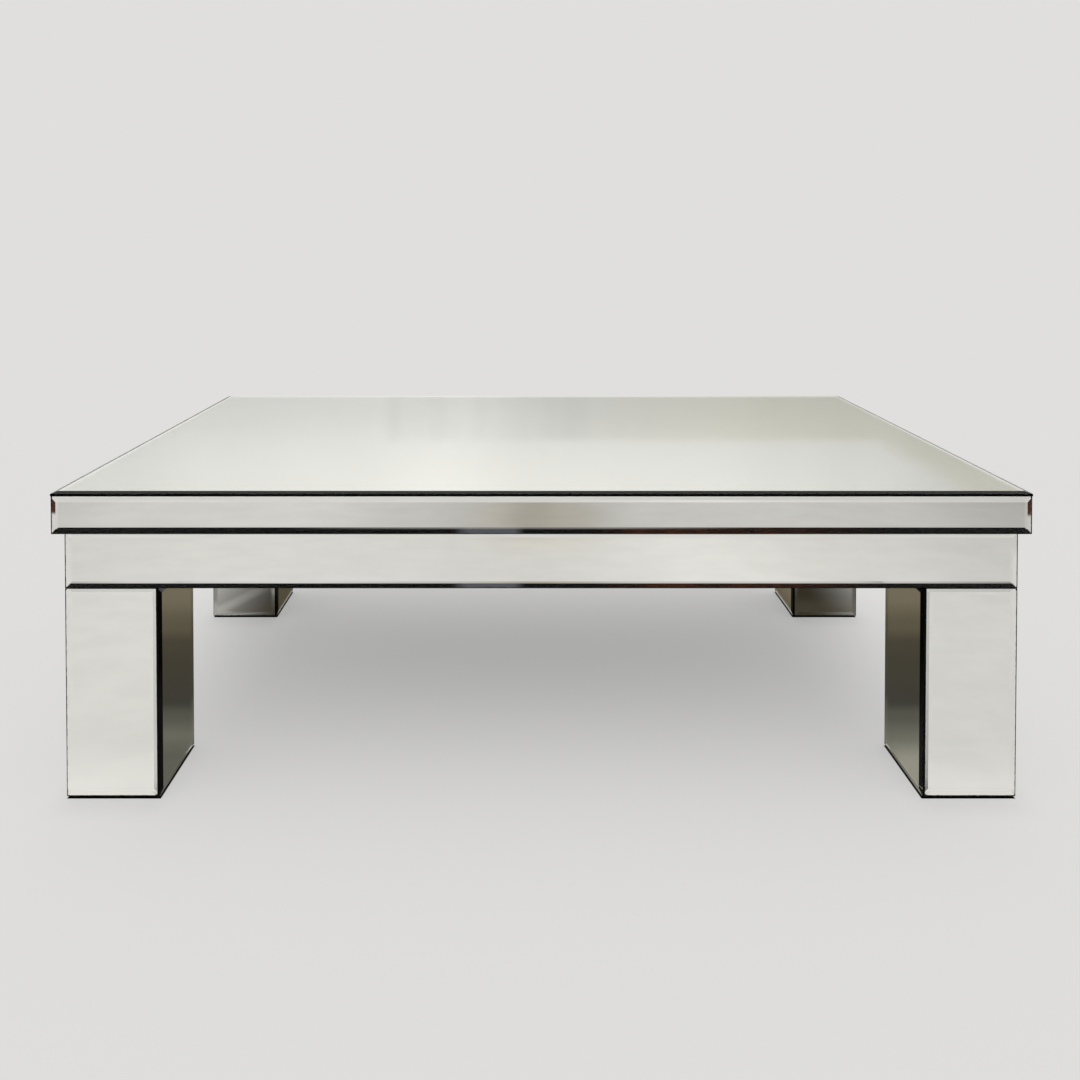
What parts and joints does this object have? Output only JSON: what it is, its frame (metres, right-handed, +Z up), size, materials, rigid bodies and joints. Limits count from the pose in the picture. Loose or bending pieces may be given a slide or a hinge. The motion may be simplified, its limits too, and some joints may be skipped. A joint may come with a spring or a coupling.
{
  "type": "mirrored coffee table",
  "caption": "Low rectangular coffee table clad in bevelled mirror glass: a thick slab top over an apron, on square corner legs, for holding things in front of seating.",
  "frame": {"origin": "on the floor under the centre of the top, at the bottom centre of the bounding box", "axes": "+X to the right along the width, +Y from the front to the back, +Z up"},
  "size_m": [1.2, 0.67, 0.385],
  "materials": {
    "mirror": "silvered float glass with ground and polished bevels",
    "plywood": "raw birch plywood",
    "softwood": "planed pine",
    "black_board": "plywood brushed with matt black stain",
    "zinc_steel": "zinc plated",
    "brass": "turned brass",
    "nylon": "moulded black nylon"
  },
  "bodies": {
    "root": {"top_mirror": "mirror", "edge_mirror_front": "mirror", "apron_mirror_front": "mirror", "slab_rail_front": "softwood", "apron_rail_front": "black_board", "cleat_front": "black_board", "edge_mirror_right": "mirror", "apron_mirror_right": "mirror", "slab_rail_right": "softwood", "apron_rail_right": "black_board", "cleat_right": "black_board", "edge_mirror_back": "mirror", "apron_mirror_back": "mirror", "slab_rail_back": "softwood", "apron_rail_back": "black_board", "cleat_back": "black_board", "edge_mirror_left": "mirror", "apron_mirror_left": "mirror", "slab_rail_left": "softwood", "apron_rail_left": "black_board", "cleat_left": "black_board", "top_board": "plywood", "top_ribs": "softwood", "underside_board": "black_board", "cross_bearer": "black_board", "corner_plate_front_left": "black_board", "leg_core_front_left": "plywood", "front_left_leg_mirror_front": "mirror", "front_left_leg_mirror_right": "mirror", "front_left_leg_mirror_back": "mirror", "front_left_leg_mirror_left": "mirror", "corner_plate_front_right": "black_board", "leg_core_front_right": "plywood", "front_right_leg_mirror_front": "mirror", "front_right_leg_mirror_right": "mirror", "front_right_leg_mirror_back": "mirror", "front_right_leg_mirror_left": "mirror", "corner_plate_back_left": "black_board", "leg_core_back_left": "plywood", "back_left_leg_mirror_front": "mirror", "back_left_leg_mirror_right": "mirror", "back_left_leg_mirror_back": "mirror", "back_left_leg_mirror_left": "mirror", "corner_plate_back_right": "black_board", "leg_core_back_right": "plywood", "back_right_leg_mirror_front": "mirror", "back_right_leg_mirror_right": "mirror", "back_right_leg_mirror_back": "mirror", "back_right_leg_mirror_left": "mirror", "leg_top_blocks": "softwood", "leg_foot_blocks": "softwood", "leg_bolts": "zinc_steel", "leg_washers": "zinc_steel", "leg_inserts": "brass", "rail_screws": "zinc_steel", "cleat_screws": "zinc_steel", "glides": "nylon", "glide_screws": "zinc_steel"}
  },
  "joints": []
}
